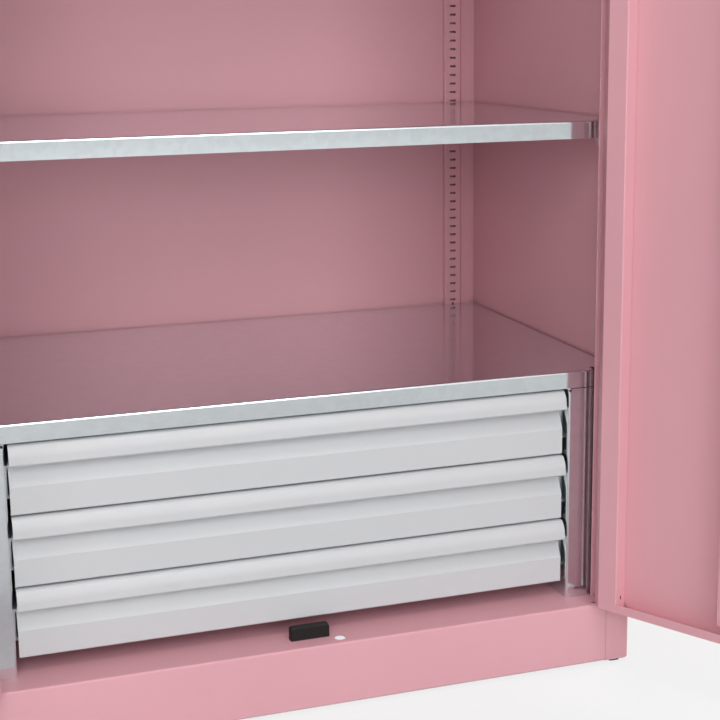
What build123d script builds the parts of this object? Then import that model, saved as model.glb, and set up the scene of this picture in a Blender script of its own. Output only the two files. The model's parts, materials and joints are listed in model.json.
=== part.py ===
from build123d import *
import os

# Carcass, sizes of the closed cabinet in millimetres
WIDTH = 980.0
DEPTH = 600.0
HEIGHT = 1950.0
PANEL = 1.2
BEND = 1.0
CRISP = 0.0
SEAM = 0.3
CUT = 1.0
REBATE = 31.0
POST_WIDTH = 37.4
STOP_FLANGE = 9.6
HEM = 8.0
HEM_GAP = 0.4
HEM_EASE = 0.04
REAR_FLANGE = 30.0
BACK_INSET = 9.2
POST_CORNER = 6.0

# Plinth with its floor sheet, and the frame over the doors
PLINTH_GAP = 4.4
PLINTH_TOP = 96.0
PLINTH_RETURN = 15.0
PLINTH_BEND = 1.8
EDGE_DROP = 20.0
TOP_FRAME = 45.0
TOP_RETURN = 39.0
SCREW_SLOT = (6.5, 4.0)
SCREW_SLOT_INSET = 16.6
SCREW_SLOT_SETBACK = 9.0

# Corner gussets and levelling feet
GUSSET = 4.0
GUSSET_RISE = 12.0
GUSSET_LENGTH = 62.0
REAR_GUSSET_WIDTH = 48.0
GUSSET_CORNER = 2.0
FOOT_RADIUS = 14.0
FOOT_PAD = 8.0
FOOT_SIDES = 6
STEM_RADIUS = 4.0
STEM_LENGTH = 40.0
STEM_FIT = 0.1
FOOT_INSET = 16.0

# Slotted shelf supports
SLOT_PITCH = 15.0
SLOT_WIDTH = 11.0
SLOT_HEIGHT = 3.5
SLOT_LOWEST = 440.0
STRIP_WIDTH = 31.0
STRIP_RISE = 7.0
STRIP_INSET = 43.8
STRIP_HOLE_RADIUS = 2.0
UPRIGHT_WIDTH = 32.0
UPRIGHT_DEPTH = 20.0
UPRIGHT_FOOT = 25.0
UPRIGHT_PITCHES = 2

# Shelves
SHELF_LIP = 25.5
SHELF_HEM = 12.0
SHELF_FRONT = 8.0
SHELF_BEND = 2.0
SHELF_LAP = 2.0
SHELF_SIDE_GAP = 4.8
SHELF_NOTCH = 4.0
SHELF_SLOTS = (23, 47, 71)

# Clips that hook into the slots and carry a shelf
CLIP_WIDTH = 26.0
CLIP_REACH = 28.0
CLIP_DROP = 25.0
CLIP_SHEET = 2.0
HOOK_WIDTH = 10.0
HOOK_HEIGHT = 3.0
HOOK_PLAY = 0.2
HOOK_TAB = 5.0

# Housing that holds the drawers
HOUSING_TOP = 421.4
HOUSING_SHEET = 1.5
HOUSING_POST = 40.4
HOUSING_REAR_GAP = 11.6
HOUSING_FOLD = 24.0
HOUSING_FOOT = 20.0
HOUSING_REAR_FLANGE = 22.0
RELIEF_RADIUS = 2.0
RELIEF_PLACE = (3.2, 3.8)
FACE_GAP = 1.2
TIE_HEIGHT = 60.0
TIE_FOLD = 12.0
TIE_GAP = 1.5

# Drawers
DRAWERS = 3
DRAWER_BOTTOM = 23.9
DRAWER_PITCH = 100.0
FRONT_SIDE_GAP = 4.6
FRONT_HEIGHT = 97.9
FRONT_SHEET = 1.2
FRONT_FACE = 17.4
FACE_HEIGHT = 38.2
RECESS_FACE = 29.6
RECESS_FOOT = 62.5
LIP_UNDERSIDE = 70.2
LIP_NOSE = 3.7
LIP_SHOULDER = (4.9, 88.0)
LIP_CREST = 13.2
LIP_NOSE_RADIUS = 2.4
LIP_SHOULDER_RADIUS = 20.0
LIP_CREST_RADIUS = 8.0
FRONT_BACK = 31.0
TRAY_SHEET = 1.0
TRAY_RISE = 7.0
TRAY_HEIGHT = 74.0
TRAY_END_GAP = 2.0
TRAY_RIM = 8.0

# Telescopic runners with three members
RUNNER_SHEET = 1.4
RUNNER_HEIGHT = 45.0
RUNNER_THICKNESS = 12.8
RUNNER_SETBACK = 2.0
RUNNER_RISE = 42.0
RUNNER_FIT = 0.3

# Doors, placed closed here and turned open at the end
DOOR_SHEET = 1.0
DOOR_BEND = 1.0
DOOR_FRONT = -30.0
DOOR_THICKNESS = 26.0
DOOR_MEETING_GAP = 1.5
DOOR_FLANK_GAP = 1.6
DOOR_FLOOR_GAP = 2.0
DOOR_EDGE = 5.5
DOOR_TAPER = 18.0
DOOR_STILE = 30.5
DOOR_STILE_FOOT = 0.1
DOOR_EDGE_FLANGE = 20.0
DOOR_RAIL = 13.0
DOOR_VENT = (4.0, 6.0)
DOOR_VENT_RISE = 20.0
DOOR_OPEN = 120.0
PIVOT_INSET = 7.0
PIVOT_DEPTH = 3.6
PIVOT_RADIUS = 2.5
PIVOT_FIT = 0.05
PIVOT_TAIL = 8.0
PIVOT_BLOCK = (12.5, 7.5, 20.0)
WASHER_RADIUS = 3.5
HINGE_PLATE = (16.0, 18.0, 3.0)
HINGE_PLATE_GAP = 3.4
STIFFENER_FACE = 36.0
STIFFENER_SLOPE = 6.0
STIFFENER_FOOT = 14.0
STIFFENER_DEPTH = 17.0
STIFFENER_END = 22.0
COVER_STRIP = (30.0, 1.4)
COVER_STEP = 0.8

# Rubber buffers that the doors close against
BUFFER_WIDTH = 57.0
BUFFER_HEIGHT = 19.0
BUFFER_DEPTH = 11.5
BUFFER_FRONT = -3.7
BUFFER_CORNER = 4.0
BUFFER_EDGE = 1.4

# Rod lock in the right door
LOCK_X = 41.0
LOCK_Y = -12.5
LOCK_Z = 975.0
ROD_RADIUS = 5.0
ROD_HOLE_RADIUS = 8.0
ROD_FIT = 0.3
ROD_CHAMFER = 1.2
ROD_TIP_INSET = 2.0
ROD_SHOULDER = 75.0
STUD_REACH = 9.0
STUD_RADIUS = 3.0
STUD_PROUD = 1.0
FORK_PLAY = 0.6
FORK_WIDTH = 20.0
FORK_OVERHANG = 4.0
FORK_SHEET = 2.0
FORK_LAP = 10.0
UPPER_FORK_Y = -12.4
LOWER_FORK_Y = -15.6
FORK_END = 7.0
CAM_RADIUS = 20.0
CAM_THICKNESS = 3.0
CAM_FRONT = -20.0
SPINDLE = 8.0
SPINDLE_BORE = 8.0
GUIDE_WIDTH = 24.0
GUIDE_HEIGHT = 12.0
GUIDE_DEPTH = 24.0
GUIDE_CORNER = 6.0
GUIDE_FROM_END = 62.0
GUIDE_FROM_LOCK = 415.0
CASE_HALF_WIDTH = 34.0
CASE_HALF_HEIGHT = 60.0
CASE_SHEET = 1.2
CASE_DEPTH = 23.5
CASE_CORNER = 4.0
CASE_MOUTH = (36.0, 9.0)

# Door handle with its rose and key plug
ROSE_RADIUS = 28.0
ROSE_THICKNESS = 6.0
ROSE_CHAMFER = 2.5
NECK_RADIUS = 11.0
NECK_FIT = 0.2
HUB_RADIUS = 18.0
HUB_DEPTH = 22.0
GRIP_LENGTH = 105.0
GRIP_END_RADIUS = 8.0
GRIP_THICKNESS = 12.0
GRIP_EDGE = 3.0
PLUG_RADIUS = 7.0
PLUG_FIT = 0.1
PLUG_DEPTH = 14.0
PLUG_PROUD = 1.0
KEYWAY = (2.0, 8.0, 3.0)

# Places worked out from the sizes above
HALF = WIDTH / 2
FRONT = -REBATE
BACK = DEPTH - REBATE
MIDDLE = (FRONT + BACK) / 2
FLANK = HALF - POST_WIDTH
STOP_EDGE = FLANK - STOP_FLANGE
WALL = HALF - PANEL
BACK_WALL = BACK - 2 * PANEL
SOFFIT = HEIGHT - TOP_FRAME
STRIP_FACE = BACK_WALL - STRIP_RISE
STRIP_X = WALL - STRIP_INSET
UPRIGHT_X = WALL - UPRIGHT_WIDTH / 2
SHELF_HALF = WALL - SHELF_SIDE_GAP
SHELF_FRONT_HALF = STOP_EDGE + SHELF_LAP
SHELF_BACK = STRIP_FACE - SEAM
HOUSING_HALF = SHELF_FRONT_HALF - HOUSING_POST
HOUSING_BACK = STRIP_FACE - HOUSING_REAR_GAP
FRONT_HALF = HOUSING_HALF - FRONT_SIDE_GAP
TRAY_HALF = HOUSING_HALF - RUNNER_THICKNESS
RUNNER_START = FRONT_BACK + RUNNER_SETBACK
RUNNER_END = HOUSING_BACK - HOUSING_SHEET - TIE_FOLD - TIE_GAP
TRAY_BACK = RUNNER_END - TRAY_END_GAP
DOOR_BACK = DOOR_FRONT + DOOR_THICKNESS
DOOR_HINGE_EDGE = FLANK - DOOR_FLANK_GAP
DOOR_BOTTOM = PLINTH_TOP + DOOR_FLOOR_GAP
DOOR_TOP = SOFFIT - DOOR_FLOOR_GAP
PIVOT = (DOOR_HINGE_EDGE - PIVOT_INSET, DOOR_FRONT + PIVOT_DEPTH)
DOOR_SKIN = DOOR_FRONT + DOOR_SHEET
DOOR_FOOT = DOOR_SKIN + DOOR_STILE_FOOT
DOOR_SHOULDER = DOOR_FRONT + DOOR_EDGE
DOOR_STILE_EDGE = DOOR_HINGE_EDGE - DOOR_TAPER
DOOR_STILE_INNER = DOOR_STILE_EDGE - DOOR_STILE
GUIDE_LEVELS = [
    DOOR_BOTTOM + GUIDE_FROM_END,
    LOCK_Z - GUIDE_FROM_LOCK,
    LOCK_Z + GUIDE_FROM_LOCK,
    DOOR_TOP - GUIDE_FROM_END,
]
ROSE_FRONT = DOOR_FRONT - ROSE_THICKNESS
HUB_FRONT = ROSE_FRONT - HUB_DEPTH


def mirrored(shape):
    """The same piece on the other side of the cabinet."""
    return mirror(shape, about=Plane.YZ)


def cuboid(low, high):
    """A block between two opposite corners."""
    size = [b - a for a, b in zip(low, high)]
    centre = [(a + b) / 2 for a, b in zip(low, high)]
    return Pos(*centre) * Box(*size)


def cross_drill(radius, x, y, low, high):
    """A vertical round bar between two heights."""
    return Pos(x, y, (low + high) / 2) * Cylinder(radius, high - low)


def bent_section(points, thickness, bend, side):
    """The section of one bent sheet. The points run along one face, and the sheet lies on the given side.
    The bend is its inside radius. A point may carry its own radius as a third number, and a crisp one has
    no radius inside or outside."""
    turn = 1 if side == Side.LEFT else -1
    corners = [point[:2] for point in points]
    radii = []
    for before, here, after in zip(points, points[1:], points[2:]):
        cross = (here[0] - before[0]) * (after[1] - here[1]) - (here[1] - before[1]) * (after[0] - here[0])
        outside = cross * turn > 0
        usual = bend + thickness if outside and bend > CRISP else bend
        radii.append(here[2] if len(here) > 2 else usual)
    path = FilletPolyline(*corners, radius=radii)
    kind = Kind.ARC if bend > CRISP else Kind.INTERSECTION
    return make_face(offset(path, amount=thickness, side=side, closed=True, kind=kind))


def upright_sheet(points, thickness, bend, side, low, high):
    """A bent sheet whose section is seen from above, between two heights."""
    return Pos(0, 0, low) * extrude(bent_section(points, thickness, bend, side), high - low, dir=(0, 0, 1))


def cross_sheet(points, thickness, bend, side, half):
    """A bent sheet whose section is seen from the right, as wide to each side of the middle as half says."""
    section = Plane(origin=(-half, 0, 0), x_dir=(0, 1, 0), z_dir=(1, 0, 0)) * bent_section(
        points, thickness, bend, side
    )
    return extrude(section, 2 * half, dir=(1, 0, 0))


def deep_sheet(points, thickness, bend, side, front, back):
    """A bent sheet whose section is seen from the front, between two depths."""
    section = Plane(origin=(0, front, 0), x_dir=(1, 0, 0), z_dir=(0, -1, 0)) * bent_section(
        points, thickness, bend, side
    )
    return extrude(section, back - front, dir=(0, 1, 0))


def swung(shape, side=1):
    """A piece of the closed door, turned open about its pivot. Side is 1 for the right, -1 for the left."""
    x, y = PIVOT
    return Pos(side * x, y, 0) * Rot(0, 0, side * DOOR_OPEN) * Pos(-side * x, -y, 0) * shape


def side_panel():
    """The right wall with its front post, stop flange and rear flange, all bent from one sheet."""
    hem_back = 2 * PANEL + HEM_GAP
    hem_radius = hem_back / 2 - HEM_EASE
    section = [
        (STOP_EDGE + HEM, hem_back),
        (STOP_EDGE, hem_back, hem_radius),
        (STOP_EDGE, 0, hem_radius),
        (FLANK, 0),
        (FLANK, FRONT),
        (HALF, FRONT),
        (HALF, BACK),
        (HALF - REAR_FLANGE, BACK),
    ]
    panel = upright_sheet(section, PANEL, BEND, Side.LEFT, PLINTH_GAP, HEIGHT - PANEL)
    for low, high in ((0, PLINTH_TOP), (SOFFIT, HEIGHT)):
        panel -= cuboid((STOP_EDGE - HEM, -PANEL, low), (FLANK, hem_back + PANEL, high))
    square = Pos(-POST_CORNER / 2, POST_CORNER / 2) * Rectangle(POST_CORNER, POST_CORNER)
    corner = square - Pos(-POST_CORNER, POST_CORNER) * Circle(POST_CORNER)
    seat = Plane(origin=(HALF, FRONT - CUT, PLINTH_GAP), x_dir=(1, 0, 0), z_dir=(0, -1, 0))
    return panel - extrude(seat * corner, CUT + PANEL + BEND, dir=(0, 1, 0))


def back_panel():
    """The flat rear wall, welded in front of the side panels' rear flanges."""
    half = HALF - BACK_INSET
    return cuboid((-half, BACK_WALL, PLINTH_GAP), (half, BACK_WALL + PANEL, HEIGHT - PANEL))


def floor_panel():
    """The cabinet floor, whose front edge is bent down as the face of the plinth."""
    section = [
        (FRONT + PLINTH_RETURN, PLINTH_GAP),
        (FRONT, PLINTH_GAP),
        (FRONT, PLINTH_TOP),
        (BACK_WALL, PLINTH_TOP, CRISP),
        (BACK_WALL, PLINTH_TOP - EDGE_DROP),
    ]
    inner, outer = FLANK - SEAM, WALL - SEAM
    floor = cross_sheet(section, PANEL, PLINTH_BEND, Side.RIGHT, inner)
    wing = [(inner - BEND, PLINTH_TOP), (outer, PLINTH_TOP), (outer, PLINTH_TOP - EDGE_DROP)]
    wing = deep_sheet(wing, PANEL, CRISP, Side.RIGHT, PANEL + SEAM, BACK_WALL)
    floor += [wing, mirrored(wing)]
    slot = Pos(FLANK - SCREW_SLOT_INSET, FRONT + SCREW_SLOT_SETBACK, PLINTH_TOP) * Box(*SCREW_SLOT, 4 * PANEL)
    pin = cross_drill(PIVOT_RADIUS + PIVOT_FIT, *PIVOT, PLINTH_TOP - 2 * PANEL, PLINTH_TOP + PANEL)
    floor -= [slot, mirrored(slot), pin, mirrored(pin)]
    return floor - cross_drill(ROD_HOLE_RADIUS, LOCK_X, LOCK_Y, PLINTH_TOP - 2 * PANEL, PLINTH_TOP + PANEL)


def top_panel():
    """The roof, whose front edge is bent down and back as the frame over the doors."""
    section = [
        (FRONT + TOP_RETURN, SOFFIT + EDGE_DROP),
        (FRONT + TOP_RETURN, SOFFIT, CRISP),
        (FRONT, SOFFIT),
        (FRONT, HEIGHT),
        (BACK, HEIGHT),
    ]
    inner = FLANK - SEAM
    roof = cross_sheet(section, PANEL, BEND, Side.RIGHT, inner)
    wing = cuboid((inner, FRONT, HEIGHT - PANEL), (HALF, BACK, HEIGHT))
    wing += cuboid((WALL - PANEL, UPRIGHT_FOOT, HEIGHT - EDGE_DROP), (WALL, SHELF_BACK, HEIGHT - PANEL))
    roof += [wing, mirrored(wing)]
    pin = cross_drill(PIVOT_RADIUS + PIVOT_FIT, *PIVOT, SOFFIT - PANEL, SOFFIT + 2 * PANEL)
    roof -= [pin, mirrored(pin)]
    return roof - cross_drill(ROD_HOLE_RADIUS, LOCK_X, LOCK_Y, SOFFIT - PANEL, SOFFIT + 2 * PANEL)


def slot_row(x, y, first, step):
    """The slots of one shelf support, as blocks to cut away, counted from the first with the given step."""
    count = int((SOFFIT - SLOT_PITCH - SLOT_LOWEST) / SLOT_PITCH)
    levels = [SLOT_LOWEST + SLOT_PITCH * slot for slot in range(first, count + 1, step)]
    return [Pos(x, y, z) * Box(SLOT_WIDTH, 4 * PANEL, SLOT_HEIGHT) for z in levels]


def rear_strip():
    """The raised slotted strip on the back wall, right side."""
    half = STRIP_WIDTH / 2
    section = [
        (STRIP_X + half, BACK_WALL),
        (STRIP_X + half, STRIP_FACE),
        (STRIP_X - half, STRIP_FACE),
        (STRIP_X - half, BACK_WALL),
    ]
    strip = upright_sheet(section, PANEL, BEND, Side.RIGHT, PLINTH_TOP, SOFFIT)
    mark = Pos(STRIP_X, STRIP_FACE, SLOT_LOWEST + SLOT_PITCH / 2)
    mark *= Rot(90, 0, 0) * Cylinder(STRIP_HOLE_RADIUS, 4 * PANEL)
    return strip - slot_row(STRIP_X, STRIP_FACE, 1, 1) - mark


def front_upright():
    """The slotted upright welded inside the front post, with every other slot of the rear strip."""
    inner = WALL - UPRIGHT_WIDTH
    section = [
        (WALL, UPRIGHT_DEPTH - UPRIGHT_FOOT),
        (WALL, UPRIGHT_DEPTH),
        (inner, UPRIGHT_DEPTH),
        (inner, FRONT + PANEL),
    ]
    upright = upright_sheet(section, PANEL, CRISP, Side.LEFT, PLINTH_TOP, SOFFIT)
    return upright - slot_row(UPRIGHT_X, UPRIGHT_DEPTH, 1, UPRIGHT_PITCHES)


def corner_gussets():
    """The four plates low in the corners that take the feet."""
    low, high = PLINTH_GAP + GUSSET_RISE, PLINTH_GAP + GUSSET_RISE + GUSSET
    front_x, rear_x = FLANK + PANEL, WALL - REAR_GUSSET_WIDTH
    front = cuboid((front_x, FRONT + PANEL, low), (WALL, FRONT + GUSSET_LENGTH, high))
    rear = cuboid((rear_x, BACK_WALL - GUSSET_LENGTH, low), (WALL, BACK_WALL, high))
    holes = [cross_drill(STEM_RADIUS + STEM_FIT, x, y, low - CUT, high + CUT) for x, y in foot_places()]
    plates = [chamfer(plate.edges().filter_by(Axis.Z), GUSSET_CORNER) - holes for plate in (front, rear)]
    return plates + [mirrored(plate) for plate in plates]


def foot_places():
    """Where the right-hand feet stand, front and rear."""
    x = (FLANK + PANEL + WALL) / 2
    return [(x, FRONT + PANEL + FOOT_INSET), (x, BACK - PANEL - FOOT_INSET)]


def levelling_feet():
    """Four feet with a six-sided pad and a stem through the gusset."""
    feet = []
    for x, y in foot_places():
        pad = Pos(x, y) * extrude(RegularPolygon(FOOT_RADIUS, FOOT_SIDES), FOOT_PAD)
        foot = pad + cross_drill(STEM_RADIUS, x, y, FOOT_PAD, STEM_LENGTH)
        feet += [foot, mirrored(foot)]
    return feet


def hinge_plates():
    """Four doubling plates, behind the ledge and the top frame, that hold the door pivots."""
    width, depth, thickness = HINGE_PLATE
    x, y = PIVOT
    near = FRONT + PANEL + SEAM
    plates = []
    for low in (PLINTH_TOP - PANEL - thickness, SOFFIT + PANEL):
        right = FLANK - HINGE_PLATE_GAP
        plate = cuboid((right - width, near, low), (right, near + depth, low + thickness))
        plate = chamfer(plate.edges().filter_by(Axis.X).group_by(Axis.Y)[0], BEND)
        plate -= cross_drill(PIVOT_RADIUS + PIVOT_FIT, x, y, low - CUT, low + thickness + CUT)
        plates += [plate, mirrored(plate)]
    return plates


def door_buffers():
    """The rubber stops at the middle of the ledge and of the top frame, lower one first."""
    outline = Pos(0, BUFFER_HEIGHT / 2) * Rectangle(BUFFER_WIDTH, BUFFER_HEIGHT)
    outline = fillet(outline.vertices().group_by(Axis.Y)[-1], BUFFER_CORNER)
    seat = Plane(origin=(0, BUFFER_FRONT, 0), x_dir=(1, 0, 0), z_dir=(0, -1, 0))
    block = extrude(seat * outline, BUFFER_DEPTH, dir=(0, 1, 0))
    face = block.faces().sort_by(Axis.Y)[0]
    rim = [edge for edge in face.edges() if edge.center().Z > BUFFER_EDGE]
    block = chamfer(rim, BUFFER_EDGE)
    return Pos(0, 0, PLINTH_TOP) * block, Pos(0, 0, SOFFIT) * mirror(block, about=Plane.XY)


def shelf(top):
    """A shelf tray with edges bent down all round and its front corners notched round the posts."""
    low = top - SHELF_LIP
    section = [
        (SHELF_FRONT + SHELF_HEM, low),
        (SHELF_FRONT, low, CRISP),
        (SHELF_FRONT, top),
        (SHELF_BACK, top, CRISP),
        (SHELF_BACK, low),
    ]
    plate = cross_sheet(section, PANEL, SHELF_BEND, Side.RIGHT, SHELF_FRONT_HALF)
    wing = [(SHELF_FRONT_HALF - BEND, top), (SHELF_HALF, top), (SHELF_HALF, low)]
    wing = deep_sheet(wing, PANEL, CRISP, Side.RIGHT, UPRIGHT_DEPTH + SHELF_NOTCH, SHELF_BACK)
    wing += cuboid((SHELF_FRONT_HALF, SHELF_BACK - PANEL, low), (SHELF_HALF - PANEL, SHELF_BACK, top))
    return plate + [wing, mirrored(wing)]


def clip(x, y, back, top):
    """A bracket hooked into a slot, which reaches to the rear where back is 1 and to the front where -1."""
    half, reach = CLIP_WIDTH / 2, CLIP_REACH
    corners = [(0, 0), (reach, 0), (reach, -CLIP_SHEET), (CLIP_SHEET, -CLIP_DROP), (0, -CLIP_DROP)]
    profile = make_face(Polyline(*corners, close=True))
    cheek = Plane(origin=(-half, 0, 0), x_dir=(0, 1, 0), z_dir=(1, 0, 0)) * profile
    cheek = extrude(cheek, CLIP_SHEET, dir=(1, 0, 0))
    body = cheek + Pos(CLIP_WIDTH - CLIP_SHEET, 0, 0) * cheek
    body += cuboid((-half, 0, -CLIP_SHEET), (half, reach, 0))
    body += cuboid((-half, 0, -CLIP_DROP), (half, CLIP_SHEET, 0))
    throat = PANEL + HOOK_PLAY
    hook = cuboid((-HOOK_WIDTH / 2, -throat - PANEL, -HOOK_HEIGHT), (HOOK_WIDTH / 2, 0, 0))
    hook += cuboid((-HOOK_WIDTH / 2, -throat - PANEL, -HOOK_HEIGHT - HOOK_TAB), (HOOK_WIDTH / 2, -throat, 0))
    piece = body + hook
    if back < 0:
        piece = mirror(piece, about=Plane.XZ)
    return Pos(x, y, top) * piece


def shelf_clips(top):
    """The four clips under one shelf."""
    seat = top - SHELF_LIP
    right = [clip(UPRIGHT_X, UPRIGHT_DEPTH, 1, seat), clip(STRIP_X, STRIP_FACE, -1, seat)]
    return right + [mirrored(piece) for piece in right]


def housing_side():
    """The right cheek of the drawer housing: its front face, its top fold inwards and its foot outwards."""
    section = [
        (HOUSING_HALF + HOUSING_POST, SHELF_FRONT),
        (HOUSING_HALF, SHELF_FRONT),
        (HOUSING_HALF, HOUSING_BACK, CRISP),
        (HOUSING_HALF + HOUSING_REAR_FLANGE, HOUSING_BACK),
    ]
    side = upright_sheet(section, HOUSING_SHEET, 2 * BEND, Side.RIGHT, PLINTH_TOP, HOUSING_TOP)
    inner, mitre = HOUSING_HALF - HOUSING_FOLD, SHELF_FRONT + HOUSING_SHEET + HOUSING_FOLD
    start = SHELF_FRONT + 2 * HOUSING_SHEET
    wall = HOUSING_HALF + HOUSING_SHEET / 2
    corners = [(wall, start), (HOUSING_HALF, start), (inner, mitre), (inner, HOUSING_BACK)]
    corners.append((wall, HOUSING_BACK))
    fold = extrude(make_face(Polyline(*corners, close=True)), HOUSING_SHEET)
    side += Pos(0, 0, HOUSING_TOP - HOUSING_SHEET) * fold
    outer, end = HOUSING_HALF + HOUSING_FOOT, HOUSING_BACK - 2 * HOUSING_SHEET
    side += cuboid((wall, start, PLINTH_TOP), (outer, end, PLINTH_TOP + HOUSING_SHEET))
    inset, drop = RELIEF_PLACE
    low = (HOUSING_HALF + inset, SHELF_FRONT - CUT, HOUSING_TOP - FACE_GAP)
    side -= cuboid(low, (HALF, start, HOUSING_TOP + CUT))
    relief = Pos(HOUSING_HALF + inset, SHELF_FRONT, HOUSING_TOP - drop) * Rot(90, 0, 0)
    return side - relief * Cylinder(RELIEF_RADIUS, 4 * HOUSING_SHEET)


def housing_ties():
    """Two channels across the rear that join the cheeks of the housing."""
    ties = []
    front = HOUSING_BACK - HOUSING_SHEET - TIE_FOLD
    low = PLINTH_TOP + HOUSING_SHEET
    for start in (low, HOUSING_TOP - HOUSING_SHEET - TIE_HEIGHT):
        section = [
            (front, start),
            (front + TIE_FOLD, start),
            (front + TIE_FOLD, start + TIE_HEIGHT),
            (front, start + TIE_HEIGHT),
        ]
        ties.append(cross_sheet(section, HOUSING_SHEET, CRISP, Side.LEFT, HOUSING_HALF))
    return ties


def drawer_base(number):
    """The height of a drawer's lower edge, counted from the lowest as 1."""
    return PLINTH_TOP + DRAWER_BOTTOM + DRAWER_PITCH * (number - 1)


def drawer_front(number):
    """A drawer front bent from one sheet, with the rounded grip lip over a recess."""
    base = drawer_base(number)
    section = [
        (FRONT_BACK, 0),
        (FRONT_FACE, 0),
        (FRONT_FACE, FACE_HEIGHT),
        (RECESS_FACE, RECESS_FOOT, CRISP),
        (RECESS_FACE, LIP_UNDERSIDE, CRISP),
        (LIP_NOSE, LIP_UNDERSIDE, LIP_NOSE_RADIUS),
        (*LIP_SHOULDER, LIP_SHOULDER_RADIUS),
        (LIP_CREST, FRONT_HEIGHT, LIP_CREST_RADIUS),
        (FRONT_BACK, FRONT_HEIGHT),
    ]
    return Pos(0, 0, base) * cross_sheet(section, FRONT_SHEET, BEND, Side.RIGHT, FRONT_HALF)


def drawer_tray(number):
    """The drawer's box with rims bent in along its top."""
    base = drawer_base(number) + TRAY_RISE
    top = base + TRAY_HEIGHT
    low, high = (-TRAY_HALF, FRONT_BACK, base), (TRAY_HALF, TRAY_BACK, top)
    inside = [a + TRAY_SHEET for a in low]
    tray = cuboid(low, high) - cuboid(inside, (TRAY_HALF - TRAY_SHEET, TRAY_BACK - TRAY_SHEET, top + CUT))
    rim = cuboid((TRAY_HALF - TRAY_RIM, FRONT_BACK, top - TRAY_SHEET), (TRAY_HALF, TRAY_BACK, top))
    return tray + [rim, mirrored(rim)]


def runner_pair(number, inset, opens_in):
    """One member of the two runners of a drawer. Inset says how far it is nested in the outermost one."""
    level = drawer_base(number) + RUNNER_RISE
    half = RUNNER_HEIGHT / 2 - inset
    wall = HOUSING_HALF - inset
    near = TRAY_HALF
    if opens_in:
        mouth = near + 2 * RUNNER_SHEET
        section = [(mouth, half), (wall, half), (wall, -half), (mouth, -half)]
        shape = deep_sheet(section, RUNNER_SHEET, CRISP, Side.RIGHT, RUNNER_START, RUNNER_END)
    else:
        section = [(wall, half), (near, half), (near, -half), (wall, -half)]
        shape = deep_sheet(section, RUNNER_SHEET, CRISP, Side.LEFT, RUNNER_START, RUNNER_END)
    shape = Pos(0, 0, level) * shape
    return [shape, mirrored(shape)]


def door_sheets():
    """The right door's two bent sheets, closed: the face with the outer stile, and the inner stile."""
    middle = DOOR_STILE_EDGE - DOOR_STILE / 2
    section = [
        (middle, DOOR_BACK),
        (DOOR_STILE_EDGE, DOOR_BACK),
        (DOOR_HINGE_EDGE, DOOR_SHOULDER),
        (DOOR_HINGE_EDGE, DOOR_FRONT),
        (DOOR_MEETING_GAP, DOOR_FRONT),
        (DOOR_MEETING_GAP, DOOR_BACK),
        (DOOR_MEETING_GAP + DOOR_EDGE_FLANGE, DOOR_BACK),
    ]
    face = upright_sheet(section, DOOR_SHEET, DOOR_BEND, Side.RIGHT, DOOR_BOTTOM, DOOR_TOP)
    section = [(DOOR_STILE_INNER, DOOR_FOOT), (DOOR_STILE_INNER, DOOR_BACK), (middle, DOOR_BACK)]
    return face + upright_sheet(section, DOOR_SHEET, DOOR_BEND, Side.RIGHT, DOOR_BOTTOM, DOOR_TOP)


def door_end(locked):
    """The rail and the stile cap that close the lower end of the right door, with its holes."""
    left = DOOR_MEETING_GAP + DOOR_SHEET
    section = [(DOOR_SKIN, 0), (DOOR_BACK, 0), (DOOR_BACK, DOOR_RAIL)]
    rail = cross_sheet(section, DOOR_SHEET, CRISP, Side.LEFT, (DOOR_STILE_INNER - left) / 2)
    rail = Pos((left + DOOR_STILE_INNER) / 2, 0, 0) * rail
    if locked:
        rail -= cross_drill(ROD_RADIUS + ROD_FIT, LOCK_X, LOCK_Y, -CUT, DOOR_SHEET + CUT)
    corners = [
        (DOOR_STILE_INNER + DOOR_SHEET, DOOR_FOOT),
        (DOOR_STILE_INNER + DOOR_SHEET, DOOR_BACK - DOOR_SHEET),
        (DOOR_STILE_EDGE - DOOR_SHEET, DOOR_BACK - DOOR_SHEET),
        (DOOR_HINGE_EDGE - DOOR_SHEET, DOOR_SHOULDER - DOOR_SHEET / 2),
        (DOOR_HINGE_EDGE - DOOR_SHEET, DOOR_FOOT),
    ]
    cap = extrude(make_face(Polyline(*corners, close=True)), DOOR_SHEET)
    return rail + (cap - cross_drill(PIVOT_RADIUS + PIVOT_FIT, *PIVOT, -CUT, DOOR_SHEET + CUT))


def door_pan(locked):
    """The right door's welded pan, closed. The locked one has holes for the handle and the rods."""
    end = door_end(locked)
    pan = door_sheets() + [Pos(0, 0, DOOR_BOTTOM) * end, Pos(0, 0, DOOR_TOP) * mirror(end, about=Plane.XY)]
    vent = Pos(DOOR_STILE_INNER, (DOOR_FRONT + DOOR_BACK) / 2, DOOR_BOTTOM + DOOR_VENT_RISE)
    pan -= vent * Box(4 * DOOR_SHEET, *DOOR_VENT)
    if locked:
        pan -= Pos(LOCK_X, DOOR_FRONT, LOCK_Z) * Rot(90, 0, 0) * Cylinder(SPINDLE_BORE, 4 * DOOR_SHEET)
    return pan


def door_stiffener():
    """The hat-shaped stiffener down the middle of the right door, closed."""
    middle = (DOOR_MEETING_GAP + DOOR_HINGE_EDGE) / 2
    face = STIFFENER_FACE / 2
    low = DOOR_FRONT + 2 * DOOR_SHEET
    crown = low + STIFFENER_DEPTH
    outline = [
        (face + STIFFENER_SLOPE + STIFFENER_FOOT, low),
        (face + STIFFENER_SLOPE, low),
        (face, crown),
    ]
    section = [(middle - x, y) for x, y in outline] + [(middle + x, y) for x, y in reversed(outline)]
    low, high = DOOR_BOTTOM + STIFFENER_END, DOOR_TOP - STIFFENER_END
    return upright_sheet(section, DOOR_SHEET, CRISP, Side.RIGHT, low, high)


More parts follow.
